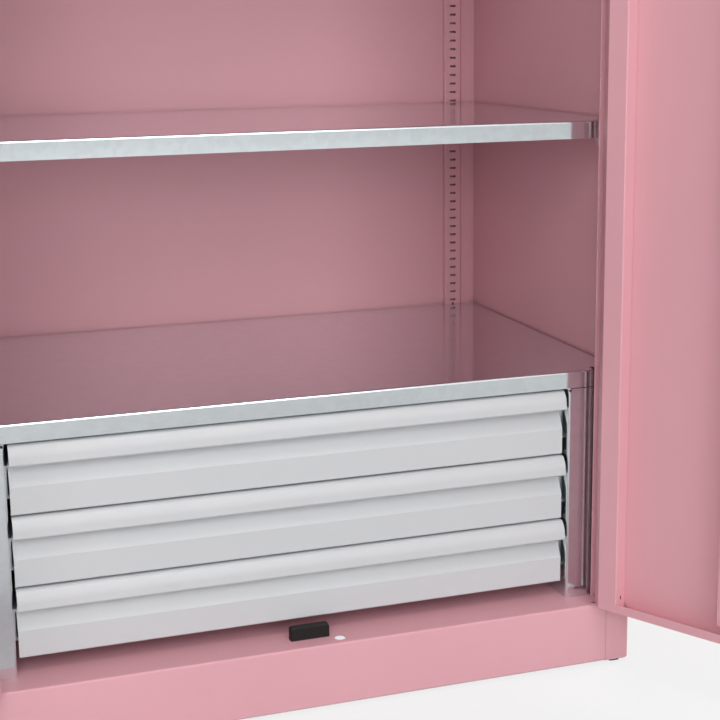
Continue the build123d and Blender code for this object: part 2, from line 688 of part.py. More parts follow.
def pivot_pins():
    """The right door's lower and upper pivots, closed: a pin in a block inside the stile. The lower one has
    the thrust washer that the door stands on."""
    x, y = PIVOT
    pin = cross_drill(PIVOT_RADIUS, x, y, -DOOR_FLOOR_GAP - PIVOT_TAIL, DOOR_SHEET + PIVOT_FIT)
    width, depth, height = PIVOT_BLOCK
    right = x + PIVOT_RADIUS
    pin += cuboid((right - width, DOOR_FOOT, DOOR_SHEET), (right, DOOR_FOOT + depth, height))
    washer = cross_drill(WASHER_RADIUS, x, y, -DOOR_FLOOR_GAP + PIVOT_FIT, 0)
    return [Pos(0, 0, DOOR_BOTTOM) * (pin + washer), Pos(0, 0, DOOR_TOP) * mirror(pin, about=Plane.XY)]


def cover_strip():
    """The strip on the left door, closed, that lies behind the edge of the right door."""
    width, thickness = COVER_STRIP
    edge = -DOOR_MEETING_GAP
    section = [
        (edge - width / 2, DOOR_BACK + thickness),
        (edge - COVER_STEP, DOOR_BACK + thickness),
        (edge, DOOR_BACK + thickness + COVER_STEP),
        (edge + width / 2, DOOR_BACK + thickness + COVER_STEP),
    ]
    low, high = DOOR_BOTTOM + STIFFENER_END, DOOR_TOP - STIFFENER_END
    gap = BUFFER_HEIGHT
    return upright_sheet(section, thickness, CRISP, Side.RIGHT, low + gap, high - gap)


def lock_rod(reach, fork_y):
    """A lock rod drawn back, rising from the cam's axis: a round bar with a flat fork that takes a stud."""
    rod = cross_drill(ROD_RADIUS, 0, LOCK_Y, ROD_SHOULDER, reach)
    rod = chamfer(rod.edges().filter_by(GeomType.CIRCLE).sort_by(Axis.Z)[-1], ROD_CHAMFER)
    left, back = FORK_OVERHANG - FORK_WIDTH, fork_y + FORK_SHEET
    low, high = -STUD_REACH - FORK_END, ROD_SHOULDER + FORK_LAP
    fork = cuboid((left, fork_y, low), (FORK_OVERHANG, back, high))
    play = STUD_RADIUS + FORK_PLAY
    end = play - STUD_REACH
    slot = cuboid((left - CUT, fork_y - CUT, -STUD_REACH - play), (end, back + CUT, end))
    return rod + (fork - slot)


def lock_rods():
    """The upper and the lower lock rod. The lower one is turned half a turn about the cam's axis."""
    seat = Pos(LOCK_X, 0, LOCK_Z)
    upper = lock_rod(DOOR_TOP - ROD_TIP_INSET - LOCK_Z, UPPER_FORK_Y)
    lower = lock_rod(LOCK_Z - DOOR_BOTTOM - ROD_TIP_INSET, LOWER_FORK_Y)
    return seat * upper, seat * Rot(0, 180, 0) * lower


def cam_disc():
    """The disc behind the door with its square spindle and the two studs that drive the rods."""
    seat = Pos(LOCK_X, 0, LOCK_Z)
    disc = Rot(90, 0, 0) * Cylinder(CAM_RADIUS, CAM_THICKNESS)
    disc = seat * Pos(0, CAM_FRONT + CAM_THICKNESS / 2, 0) * disc
    half = SPINDLE / 2
    disc += seat * cuboid((-half, ROSE_FRONT, -half), (half, CAM_FRONT, half))
    back = CAM_FRONT + CAM_THICKNESS
    for way, fork_y in ((1, UPPER_FORK_Y), (-1, LOWER_FORK_Y)):
        end = fork_y + FORK_SHEET + STUD_PROUD
        stud = Rot(90, 0, 0) * Cylinder(STUD_RADIUS, end - back)
        disc += seat * Pos(-way * STUD_REACH, (back + end) / 2, -way * STUD_REACH) * stud
    return disc


def pressing(inset, front):
    """The lock case as a block with its rear edges cut off, as far inside the outer face as inset says."""
    wide, tall = CASE_HALF_WIDTH - inset, CASE_HALF_HEIGHT - inset
    block = cuboid((-wide, front, -tall), (wide, DOOR_SKIN + CASE_DEPTH - inset, tall))
    edges = block.edges().filter_by(Axis.Y) + block.edges().group_by(Axis.Y)[-1]
    return chamfer(edges, CASE_CORNER - inset / 2)


def lock_case():
    """The pressed cover over the cam, fixed to the inside of the door."""
    shell = pressing(0, DOOR_SKIN) - pressing(CASE_SHEET, DOOR_SKIN - CUT)
    shell -= Pos(0, LOCK_Y, 0) * Box(*CASE_MOUTH, 2 * CASE_HALF_HEIGHT + CUT)
    return Pos(LOCK_X, 0, LOCK_Z) * shell


def rod_guides():
    """Blocks on the inside of the right door, closed, that keep the rods straight."""
    half, tall = GUIDE_WIDTH / 2, GUIDE_HEIGHT / 2
    block = cuboid((LOCK_X - half, DOOR_SKIN, -tall), (LOCK_X + half, DOOR_SKIN + GUIDE_DEPTH, tall))
    rear = block.faces().sort_by(Axis.Y)[-1]
    block = chamfer(rear.edges().filter_by(Axis.Z), GUIDE_CORNER)
    block -= cross_drill(ROD_RADIUS + ROD_FIT, LOCK_X, LOCK_Y, -GUIDE_HEIGHT, GUIDE_HEIGHT)
    return [Pos(0, 0, level) * block for level in GUIDE_LEVELS]


def handle_rose():
    """The round plate behind the handle."""
    seat = Pos(LOCK_X, DOOR_FRONT - ROSE_THICKNESS / 2, LOCK_Z) * Rot(90, 0, 0)
    disc = seat * Cylinder(ROSE_RADIUS, ROSE_THICKNESS)
    rim = disc.edges().filter_by(GeomType.CIRCLE).sort_by(Axis.Y)[0]
    disc = chamfer(rim, ROSE_CHAMFER)
    return disc - seat * Cylinder(NECK_RADIUS + NECK_FIT, 2 * ROSE_THICKNESS)


def door_handle():
    """The lever: a neck in the rose, a hub for the key plug and a tapering grip."""
    tip = Pos(GRIP_LENGTH, 0) * Circle(GRIP_END_RADIUS)
    outline = make_hull([*Circle(HUB_RADIUS).edges(), *tip.edges()])
    front = Plane(origin=(LOCK_X, HUB_FRONT, LOCK_Z), x_dir=(1, 0, 0), z_dir=(0, -1, 0))
    grip = extrude(front * outline, GRIP_THICKNESS, dir=(0, 1, 0))
    grip = chamfer(grip.edges().group_by(Axis.Y)[0], GRIP_EDGE)
    hub = extrude(front * Circle(HUB_RADIUS), HUB_DEPTH - NECK_FIT, dir=(0, 1, 0))
    neck = extrude(front * Circle(NECK_RADIUS), HUB_DEPTH - NECK_FIT + ROSE_THICKNESS, dir=(0, 1, 0))
    face = Pos(LOCK_X, HUB_FRONT, LOCK_Z) * Box(4 * HUB_RADIUS, 2 * GRIP_EDGE, 4 * HUB_RADIUS)
    handle = grip + (hub - face) + neck
    side = SPINDLE + 2 * PIVOT_FIT
    handle -= Pos(LOCK_X, DOOR_FRONT, LOCK_Z) * Box(side, 2 * ROSE_THICKNESS, side)
    return handle - extrude(front * Circle(PLUG_RADIUS + PLUG_FIT), PLUG_DEPTH, dir=(0, 1, 0))


def key_plug():
    """The turning plug of the cylinder lock in the handle's hub, with its keyway."""
    front = Plane(origin=(LOCK_X, HUB_FRONT - PLUG_PROUD, LOCK_Z), x_dir=(1, 0, 0), z_dir=(0, -1, 0))
    plug = extrude(front * Circle(PLUG_RADIUS), PLUG_DEPTH + PLUG_PROUD, dir=(0, 1, 0))
    width, height, depth = KEYWAY
    return plug - extrude(front * Rectangle(width, height), depth, dir=(0, 1, 0))


def carcass_pieces():
    """Every piece of the fixed carcass."""
    panel, strip, upright = side_panel(), rear_strip(), front_upright()
    lower_buffer, upper_buffer = door_buffers()
    return {
        "right_side_panel": panel,
        "left_side_panel": mirrored(panel),
        "back_panel": back_panel(),
        "floor_panel": floor_panel(),
        "top_panel": top_panel(),
        "right_rear_slotted_strip": strip,
        "left_rear_slotted_strip": mirrored(strip),
        "right_front_slotted_upright": upright,
        "left_front_slotted_upright": mirrored(upright),
        "corner_gussets": corner_gussets(),
        "levelling_feet": levelling_feet(),
        "hinge_plates": hinge_plates(),
        "lower_door_buffer": lower_buffer,
        "upper_door_buffer": upper_buffer,
    }


def shelf_pieces():
    """The shelf on the drawer housing, and the ones on clips."""
    pieces = {"shelf_1": shelf(HOUSING_TOP + SHELF_LIP)}
    for number, slot in enumerate(SHELF_SLOTS, start=2):
        top = SLOT_LOWEST + SLOT_PITCH * slot + HOOK_HEIGHT / 2 + SHELF_LIP
        pieces[f"shelf_{number}"] = shelf(top)
        pieces[f"shelf_{number}_clips"] = shelf_clips(top)
    return pieces


def drawer_pieces():
    """The housing, and each drawer with its runners."""
    side = housing_side()
    pieces = {
        "right_housing_side": side,
        "left_housing_side": mirrored(side),
        "housing_ties": housing_ties(),
    }
    nested = RUNNER_SHEET + RUNNER_FIT
    for number in range(1, DRAWERS + 1):
        pieces[f"drawer_{number}_front"] = drawer_front(number)
        pieces[f"drawer_{number}_tray"] = drawer_tray(number)
        pieces[f"drawer_{number}_outer_runners"] = runner_pair(number, 0, True)
        pieces[f"drawer_{number}_middle_runners"] = runner_pair(number, nested, True)
        pieces[f"drawer_{number}_inner_runners"] = runner_pair(number, 2 * nested, False)
    return pieces


def door_pieces():
    """Both doors at their open rest position, with the lock in the right one."""
    upper_rod, lower_rod = lock_rods()
    right = {
        "right_door_panel": door_pan(True),
        "right_door_stiffener": door_stiffener(),
        "right_door_pivots": pivot_pins(),
        "upper_lock_rod": upper_rod,
        "lower_lock_rod": lower_rod,
        "cam_disc": cam_disc(),
        "lock_case": lock_case(),
        "rod_guides": rod_guides(),
        "handle_rose": handle_rose(),
        "door_handle": door_handle(),
        "key_plug": key_plug(),
    }
    left = {
        "left_door_panel": mirrored(door_pan(False)),
        "left_door_stiffener": mirrored(door_stiffener()),
        "left_door_pivots": [mirrored(pin) for pin in pivot_pins()],
        "left_door_cover_strip": cover_strip(),
    }
    pieces = {}
    for side, group in ((1, right), (-1, left)):
        for name, shape in group.items():
            shapes = shape if isinstance(shape, list) else [shape]
            pieces[name] = [swung(piece, side) for piece in shapes]
    return pieces


def export(pieces):
    """Writes one file for each named piece or group of like pieces, with the origin in mid-depth."""
    os.makedirs("parts", exist_ok=True)
    for name, shape in pieces.items():
        shapes = shape if isinstance(shape, list) else [shape]
        solids = [Pos(0, -MIDDLE, 0) * solid for piece in shapes for solid in piece.solids()]
        export_step(solids[0] if len(solids) == 1 else Compound(solids), f"parts/{name}.step")


export({**carcass_pieces(), **shelf_pieces(), **drawer_pieces(), **door_pieces()})
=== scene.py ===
"""Finishes, small fittings, light and camera for a tall steel drawer cabinet.

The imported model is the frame: every rigid piece comes from it and keeps its place. This script gives each
of them a procedural finish, adds the screws of the lock case, and sets up the studio and the camera.
"""

import json
import logging
import math
from dataclasses import dataclass, field
from enum import Enum

import bmesh
import bpy
from mathutils import Matrix, Vector


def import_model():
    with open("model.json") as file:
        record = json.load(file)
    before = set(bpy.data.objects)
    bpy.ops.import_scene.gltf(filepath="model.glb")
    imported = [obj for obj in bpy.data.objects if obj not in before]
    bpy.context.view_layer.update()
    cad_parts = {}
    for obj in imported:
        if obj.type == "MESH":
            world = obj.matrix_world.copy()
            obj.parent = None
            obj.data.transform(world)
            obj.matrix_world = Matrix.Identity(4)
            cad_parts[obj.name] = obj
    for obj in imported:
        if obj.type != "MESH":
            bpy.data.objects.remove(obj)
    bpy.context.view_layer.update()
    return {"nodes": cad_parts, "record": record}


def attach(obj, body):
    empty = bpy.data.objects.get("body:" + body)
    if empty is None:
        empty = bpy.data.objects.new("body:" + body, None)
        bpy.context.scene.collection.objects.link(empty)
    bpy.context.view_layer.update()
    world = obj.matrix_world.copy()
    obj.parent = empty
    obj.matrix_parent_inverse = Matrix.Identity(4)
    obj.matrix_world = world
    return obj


Colour = tuple[float, float, float]
Point = tuple[float, float, float]

LOG = logging.getLogger("cabinet")

# In metres: the row frame's origin lies MID_DEPTH behind the plane of the door stops, and the right door's
# pivot lies PIVOT_FORWARD in front of that plane.
MID_DEPTH = 0.269
PIVOT_FORWARD = 0.0264
PIVOT = Vector((0.444, -PIVOT_FORWARD - MID_DEPTH, 0.0))
DOOR_OPEN = math.radians(120.0)

# The band that holds nearly all values of a noise pattern.
NOISE_BAND = (0.3, 0.7)
# How open a place is where the painted shade of a hollow is darkest, and where that shade stops.
HOLLOW_BAND = (0.18, 0.42)
HOLLOW_SAMPLES = 6
SENSOR_WIDTH = 36.0
WHITE = (1.0, 1.0, 1.0)


class Slot(Enum):
    """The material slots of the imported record."""

    CARCASS_PAINT = "carcass_paint"
    DRAWER_PAINT = "drawer_paint"
    GALVANISED = "galvanised_sheet"
    PLAIN_STEEL = "plain_steel"
    RUBBER = "black_rubber"
    PLASTIC = "black_plastic"
    CHROME = "lock_chrome"


@dataclass(frozen=True)
class Grain:
    """A noise pattern fixed to a piece.

    Attributes:
        scale: Cells per metre.
        detail: Octaves of finer noise.
        stretch: Factors that lengthen the cells along an axis where they are below 1.
    """

    scale: float
    detail: float = 2.0
    stretch: Point | None = None


class Shader:
    """A material's node tree while it is being built.

    Args:
        name: The material's name.
    """

    def __init__(self, name: str) -> None:
        self.material = bpy.data.materials.new(name)
        self.material.use_nodes = True
        self.tree = self.material.node_tree
        self.tree.nodes.clear()
        self.surface = self.tree.nodes.new("ShaderNodeBsdfPrincipled")
        self.output = self.tree.nodes.new("ShaderNodeOutputMaterial")
        self.link(self.surface.outputs["BSDF"], self.output.inputs["Surface"])
        self.place = self.tree.nodes.new("ShaderNodeTexCoord").outputs["Object"]

    def link(self, source: bpy.types.NodeSocket, target: bpy.types.NodeSocket) -> None:
        """Joins two sockets.

        Args:
            source: The output that gives the value.
            target: The input that takes it.
        """
        self.tree.links.new(source, target)

    def fixed(self, **values: float | Colour) -> None:
        """Sets constant values on the surface shader's own sockets.

        Args:
            **values: Socket names with underscores for spaces, and what they are set to.
        """
        for name, value in values.items():
            socket = self.surface.inputs[name.replace("_", " ")]
            socket.default_value = (*value, 1.0) if isinstance(value, tuple) else value

    def stretched(self, scale: Point) -> bpy.types.NodeSocket:
        """Object coordinates with another scale along each axis.

        Args:
            scale: The factors for X, Y and Z.

        Returns:
            The socket with the scaled coordinates.
        """
        mapping = self.tree.nodes.new("ShaderNodeMapping")
        mapping.inputs["Scale"].default_value = scale
        self.link(self.place, mapping.inputs["Vector"])
        return mapping.outputs["Vector"]

    def noise(self, grain: Grain) -> bpy.types.NodeSocket:
        """A noise pattern fixed to the piece.

        Args:
            grain: The pattern's sizes.

        Returns:
            The socket with the pattern's value.
        """
        node = self.tree.nodes.new("ShaderNodeTexNoise")
        node.inputs["Scale"].default_value = grain.scale
        node.inputs["Detail"].default_value = grain.detail
        place = self.stretched(grain.stretch) if grain.stretch else self.place
        self.link(place, node.inputs["Vector"])
        return node.outputs["Fac"]

    def cells(self, scale: float) -> bpy.types.NodeSocket:
        """A random value for each crystal-like cell.

        Args:
            scale: Cells per metre.

        Returns:
            The socket with a value from 0 to 1 that is constant within a cell.
        """
        node = self.tree.nodes.new("ShaderNodeTexVoronoi")
        node.inputs["Scale"].default_value = scale
        self.link(self.place, node.inputs["Vector"])
        split = self.tree.nodes.new("ShaderNodeSeparateColor")
        self.link(node.outputs["Color"], split.inputs["Color"])
        return split.outputs["Red"]

    def ranged(self, value: bpy.types.NodeSocket, low: float, high: float) -> bpy.types.NodeSocket:
        """Maps a pattern to a range.

        Args:
            value: A pattern around one half.
            low: What its dark parts become.
            high: What its bright parts become.

        Returns:
            The mapped socket.
        """
        node = self.tree.nodes.new("ShaderNodeMapRange")
        node.inputs["From Min"].default_value, node.inputs["From Max"].default_value = NOISE_BAND
        node.inputs["To Min"].default_value = low
        node.inputs["To Max"].default_value = high
        self.link(value, node.inputs["Value"])
        return node.outputs["Result"]

    def shaded(self, colour: Colour, value: bpy.types.NodeSocket, spread: float) -> bpy.types.NodeSocket:
        """A colour that gets lighter and darker with a pattern.

        Args:
            colour: The mean colour, linear.
            value: The pattern.
            spread: How far the colour moves each way, as a share of itself.

        Returns:
            The colour socket.
        """
        node = self.tree.nodes.new("ShaderNodeMix")
        node.data_type = "RGBA"
        node.inputs["A"].default_value = (*(c * (1 - spread) for c in colour), 1.0)
        node.inputs["B"].default_value = (*(min(1.0, c * (1 + spread)) for c in colour), 1.0)
        self.link(self.ranged(value, 0.0, 1.0), node.inputs["Factor"])
        return node.outputs["Result"]

    def paint_shade_in_hollow(self, colour: bpy.types.NodeSocket, reach: float, depth: float) -> bpy.types.NodeSocket:
        """Paints shade into a colour where the surface lies in a narrow hollow, such as behind a slot.

        Args:
            colour: The colour in the open.
            reach: How near the hollow's walls are, in metres.
            depth: The share of the colour that is left deep inside.

        Returns:
            The colour socket.
        """
        openness = self.tree.nodes.new("ShaderNodeAmbientOcclusion")
        openness.samples = HOLLOW_SAMPLES
        openness.inputs["Distance"].default_value = reach
        node = self.tree.nodes.new("ShaderNodeMapRange")
        node.inputs["From Min"].default_value, node.inputs["From Max"].default_value = HOLLOW_BAND
        node.inputs["To Min"].default_value = depth
        self.link(openness.outputs["AO"], node.inputs["Value"])
        scale = self.tree.nodes.new("ShaderNodeVectorMath")
        scale.operation = "SCALE"
        self.link(colour, scale.inputs["Vector"])
        self.link(node.outputs["Result"], scale.inputs["Scale"])
        return scale.outputs["Vector"]

    def bump(
        self, grain: Grain, height: float, under: bpy.types.NodeSocket | None = None
    ) -> bpy.types.NodeSocket:
        """Adds relief to the surface.

        Args:
            grain: The pattern of the relief.
            height: Its height in metres.
            under: The normal of a coarser relief that this one lies on.

        Returns:
            The normal socket, so that a finer relief can lie on this one.
        """
        pattern = self.noise(grain)
        node = self.tree.nodes.new("ShaderNodeBump")
        node.inputs["Distance"].default_value = height
        self.link(pattern, node.inputs["Height"])
        if under is not None:
            self.link(under, node.inputs["Normal"])
        self.link(node.outputs["Normal"], self.surface.inputs["Normal"])
        return node.outputs["Normal"]


@dataclass(frozen=True)
class PowderCoat:
    """A stoved powder coat with its slight peel and grain.

    Attributes:
        name: The material's name.
        colour: Its mean colour, linear.
        roughness: Its mean roughness.
        spread: How far the colour varies, as a share.
        specular: The level of its own reflection.
        coat: The share of a clear top coat.
        painted_hollow_shade: Whether the recesses behind slots get painted shade in their colour.
    """

    name: str
    colour: Colour
    roughness: float = 0.42
    spread: float = 0.025
    specular: float = 0.2
    coat: float = 0.0
    painted_hollow_shade: bool = False

    CLOUDS = Grain(2.5, 3.0)
    HAZE = Grain(38.0, 3.0)
    HAZE_SPREAD = 0.04
    PEEL = Grain(230.0)
    PEEL_HEIGHT = 0.00003
    POWDER = Grain(1500.0)
    POWDER_HEIGHT = 0.000012
    COAT_ROUGHNESS = 0.25
    # Painted shade in the hollows behind slots: how near their walls are, and the share of the colour left
    # deep inside.
    HOLLOW_REACH = 0.014
    HOLLOW_DEPTH = 0.12

    def build(self) -> bpy.types.Material:
        """Makes the material.

        Returns:
            The finished material.
        """
        shader = Shader(self.name)
        shader.fixed(
            Specular_IOR_Level=self.specular, Coat_Weight=self.coat, Coat_Roughness=self.COAT_ROUGHNESS
        )
        colour = shader.shaded(self.colour, shader.noise(self.CLOUDS), self.spread)
        # Painted shade: the colour gets darker in narrow hollows, such as behind the slots of the rear
        # strips.
        if self.painted_hollow_shade:
            colour = shader.paint_shade_in_hollow(colour, self.HOLLOW_REACH, self.HOLLOW_DEPTH)
        shader.link(colour, shader.surface.inputs["Base Color"])
        low, high = self.roughness - self.HAZE_SPREAD, self.roughness + self.HAZE_SPREAD
        shader.link(shader.ranged(shader.noise(self.HAZE), low, high), shader.surface.inputs["Roughness"])
        peel = shader.bump(self.PEEL, self.PEEL_HEIGHT)
        shader.bump(self.POWDER, self.POWDER_HEIGHT, peel)
        return shader.material


@dataclass(frozen=True)
class Galvanised:
    """Bright zinc-coated sheet with faint crystals and rolling streaks.

    Attributes:
        name: The material's name.
        colour: Its mean reflection colour, linear.
        roughness: Its mean roughness.
        crystals: Crystals per metre.
        metallic: How much of it mirrors like metal; the rest is dull.
    """

    name: str
    colour: Colour
    roughness: float = 0.11
    crystals: float = 120.0
    metallic: float = 0.96

    SPREAD = 0.02
    STREAKS = Grain(30.0, 3.0, (0.1, 1.0, 1.0))
    HAZE_SPREAD = 0.015
    WAVES = Grain(4.0, 1.0)
    WAVE_HEIGHT = 0.00006
    FROST = Grain(420.0)
    FROST_HEIGHT = 0.000002

    def build(self) -> bpy.types.Material:
        """Makes the material.

        Returns:
            The finished material.
        """
        shader = Shader(self.name)
        shader.fixed(Metallic=self.metallic)
        colour = shader.shaded(self.colour, shader.cells(self.crystals), self.SPREAD)
        shader.link(colour, shader.surface.inputs["Base Color"])
        low, high = self.roughness - self.HAZE_SPREAD, self.roughness + self.HAZE_SPREAD
        haze = shader.ranged(shader.noise(self.STREAKS), low, high)
        shader.link(haze, shader.surface.inputs["Roughness"])
        wave = shader.bump(self.WAVES, self.WAVE_HEIGHT)
        shader.bump(self.FROST, self.FROST_HEIGHT, wave)
        return shader.material


@dataclass(frozen=True)
class BareMetal:
    """Turned or drawn metal with fine scratches.

    Attributes:
        name: The material's name.
        colour: Its reflection colour, linear.
        roughness: Its mean roughness.
        scratch: Height of the scratches in metres.
    """

    name: str
    colour: Colour
    roughness: float
    scratch: float = 0.000008

    CLOUDS = Grain(25.0)
    SPREAD = 0.04
    HAZE = Grain(90.0, 4.0)
    HAZE_SHARES = (0.8, 1.3)
    SCRATCHES = Grain(700.0, 2.0, (1.0, 1.0, 0.05))

    def build(self) -> bpy.types.Material:
        """Makes the material.

        Returns:
            The finished material.
        """
        shader = Shader(self.name)
        shader.fixed(Metallic=1.0)
        colour = shader.shaded(self.colour, shader.noise(self.CLOUDS), self.SPREAD)
        shader.link(colour, shader.surface.inputs["Base Color"])
        low, high = (self.roughness * share for share in self.HAZE_SHARES)
        shader.link(shader.ranged(shader.noise(self.HAZE), low, high), shader.surface.inputs["Roughness"])
        shader.bump(self.SCRATCHES, self.scratch)
        return shader.material


@dataclass(frozen=True)
class Moulded:
    """A moulded polymer or rubber with a fine matt grain.

    Attributes:
        name: The material's name.
        colour: Its mean colour, linear.
        roughness: Its mean roughness.
        grain: Height of the grain in metres.
    """

    name: str
    colour: Colour
    roughness: float
    grain: float

    SPECULAR = 0.4
    CLOUDS = Grain(70.0, 4.0)
    SPREAD = 0.12
    HAZE = Grain(240.0, 3.0)
    HAZE_SPREAD = 0.08
    MATT = Grain(1800.0, 3.0)

    def build(self) -> bpy.types.Material:
        """Makes the material.

        Returns:
            The finished material.
        """
        shader = Shader(self.name)
        shader.fixed(Specular_IOR_Level=self.SPECULAR)
        colour = shader.shaded(self.colour, shader.noise(self.CLOUDS), self.SPREAD)
        shader.link(colour, shader.surface.inputs["Base Color"])
        low, high = self.roughness - self.HAZE_SPREAD, self.roughness + self.HAZE_SPREAD
        shader.link(shader.ranged(shader.noise(self.HAZE), low, high), shader.surface.inputs["Roughness"])
        shader.bump(self.MATT, self.grain)
        return shader.material


Finish = PowderCoat | Galvanised | BareMetal | Moulded


@dataclass
class Finishes:
    """Every finish of the cabinet, built once and handed to the pieces by slot.

    Attributes:
        kinds: The finish of each material slot.
        rolled: The duller finish of the rolled profiles among the galvanised pieces.
        built: The materials made so far.
    """

    kinds: dict[Slot, Finish] = field(default_factory=lambda: {
        # The carcass paint gets painted shade in the hollows behind its slots.
        Slot.CARCASS_PAINT: PowderCoat("pink_powder_coat", (0.755, 0.41, 0.457), painted_hollow_shade=True),
        Slot.DRAWER_PAINT: PowderCoat(
            "light_grey_powder_coat",
            (0.592, 0.618, 0.632),
            roughness=0.36,
            spread=0.012,
            specular=0.45,
            coat=0.12,
        ),
        Slot.GALVANISED: Galvanised("bright_galvanised_sheet", (0.775, 0.832, 0.858)),
        Slot.PLAIN_STEEL: BareMetal("zinc_plated_steel", (0.56, 0.56, 0.54), 0.32),
        Slot.RUBBER: Moulded("black_rubber", (0.011, 0.01, 0.01), 0.7, 0.00002),
        Slot.PLASTIC: Moulded("black_plastic", (0.02, 0.02, 0.021), 0.45, 0.000015),
        Slot.CHROME: BareMetal("lock_chrome", (0.7, 0.7, 0.7), 0.12, 0.000002),
    })
    rolled: Galvanised = Galvanised(
        "rolled_zinc_profile", (0.74, 0.78, 0.8), roughness=0.34, metallic=0.6
    )
    built: dict[Slot, bpy.types.Material] = field(default_factory=dict)

    def material(self, slot: Slot) -> bpy.types.Material:
        """The material of a slot.

        Args:
            slot: The slot asked for.

        Returns:
            Its material, made at the first call.
        """
        if slot not in self.built:
            self.built[slot] = self.kinds[slot].build()
            LOG.info("finish %s for slot %s", self.built[slot].name, slot.value)
        return self.built[slot]


@dataclass
class Cabinet:
    """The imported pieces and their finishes.

    Attributes:
        nodes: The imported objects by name.
        record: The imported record.
        finishes: The finishes by slot.
    """

    nodes: dict[str, bpy.types.Object]
    record: dict
    finishes: Finishes

    ROLLED_ENDING = "_runners"

    def dress(self) -> None:
        """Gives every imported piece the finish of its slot, and the runners that of rolled profiles."""
        rolled = self.finishes.rolled.build()
        for entry in self.record["subparts"]:
            name = entry["node"]
            finish = self.finishes.material(Slot(entry["material_slot"]))
            materials = self.nodes[name].data.materials
            materials.clear()
            materials.append(rolled if name.endswith(self.ROLLED_ENDING) else finish)
            LOG.info("dressed %s", name)


@dataclass
class Fitting:
    """A small piece built here that rides on one body.

    Attributes:
        name: The piece's name.
        body: The body it rides on.
        slot: The slot of its finish.
        finishes: The finishes by slot.
    """

    name: str
    body: str
    slot: Slot
    finishes: Finishes

    def place(self, mesh: bmesh.types.BMesh, matrices: list[Matrix]) -> bpy.types.Object:
        """Copies a mesh to its places, joins the copies and lets them ride.

        Args:
            mesh: The mesh of one copy, freed here.
            matrices: Where the copies go, in the row frame at rest.

        Returns:
            The new object.
        """
        whole = bmesh.new()
        for matrix in matrices:
            data = bpy.data.meshes.new("copy")
            mesh.to_mesh(data)
            data.transform(matrix)
            whole.from_mesh(data)
            bpy.data.meshes.remove(data)
        mesh.free()
        data = bpy.data.meshes.new(self.name)
        whole.to_mesh(data)
        whole.free()
        data.materials.append(self.finishes.material(self.slot))
        piece = bpy.data.objects.new(self.name, data)
        bpy.context.scene.collection.objects.link(piece)
        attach(piece, self.body)
        LOG.info("placed %s on %s, %d copies", self.name, self.body, len(matrices))
        return piece


@dataclass(frozen=True)
class PanHead:
    """A pan-head screw with a cross recess, its head rising along +Z.

    Attributes:
        radius: The head's radius in metres.
        height: The head's height in metres.
        sides: How many sides its outline has.
    """

    radius: float = 0.0035
    height: float = 0.0018
    sides: int = 20

    # Shares of the radius and the height: the dome's rings, then the recess at its arms and between them.
    DOME = ((1.0, 0.0), (0.98, 0.45), (0.85, 0.8), (0.62, 0.97), (0.45, 1.0))
    ARM = (0.42, 0.35)
    CORNER = (0.14, 0.2)
    ARMS = 4

    def vertex(self, mesh: bmesh.types.BMesh, k: int, shares: tuple[float, float]) -> bmesh.types.BMVert:
        """Adds one vertex of a ring.

        Args:
            mesh: The mesh that takes it.
            k: Its number in the ring.
            shares: Its distance from the axis and its height, as shares of the radius and the height.

        Returns:
            The vertex.
        """
        reach, rise = shares
        angle = math.tau * k / self.sides
        x, y = self.radius * reach * math.cos(angle), self.radius * reach * math.sin(angle)
        return mesh.verts.new((x, y, self.height * rise))

    def mesh(self) -> bmesh.types.BMesh:
        """Builds the head: a domed disc whose middle carries a cross-shaped recess.

        Returns:
            The mesh.
        """
        mesh = bmesh.new()
        loops = [[self.vertex(mesh, k, shares) for k in range(self.sides)] for shares in self.DOME]
        step = self.sides // self.ARMS
        loops.append([
            self.vertex(mesh, k, self.CORNER if k % step else self.ARM) for k in range(self.sides)
        ])
        for low, high in zip(loops, loops[1:]):
            for k in range(self.sides):
                n = (k + 1) % self.sides
                mesh.faces.new((low[k], low[n], high[n], high[k]))
        mesh.faces.new(loops[-1])
        bmesh.ops.recalc_face_normals(mesh, faces=mesh.faces)
        return mesh


@dataclass
class DoorFittings:
    """The small fittings on the inside of the right door.

    Attributes:
        finishes: The finishes by slot.
    """

    finishes: Finishes

    # The middle of the lock case, door closed, and how far its screws are from it, in metres.
    CASE = (0.041, -0.0055, 0.975)
    REACH_X = 0.026
    REACH_Z = 0.05

    def opened(self, x: float, y: float, z: float) -> Matrix:
        """The place of a screw that looks into the cabinet when the door is closed.

        Args:
            x: Distance to the right of the cabinet's middle, door closed.
            y: Distance behind the plane of the door stops, door closed.
            z: Height.

        Returns:
            The matrix at rest, with the door open.
        """
        swing = Matrix.Translation(PIVOT) @ Matrix.Rotation(DOOR_OPEN, 4, "Z") @ Matrix.Translation(-PIVOT)
        facing = Matrix.Rotation(math.radians(-90.0), 4, "X")
        return swing @ Matrix.Translation(Vector((x, y - MID_DEPTH, z))) @ facing

    def build(self) -> None:
        """Screws the lock case to the door."""
        x, y, z = self.CASE
        places = [
            self.opened(x + dx, y, z + dz)
            for dx in (-self.REACH_X, self.REACH_X)
            for dz in (-self.REACH_Z, self.REACH_Z)
        ]
        screws = Fitting("lock_case_screws", "right_door", Slot.PLAIN_STEEL, self.finishes)
        screws.place(PanHead().mesh(), places)


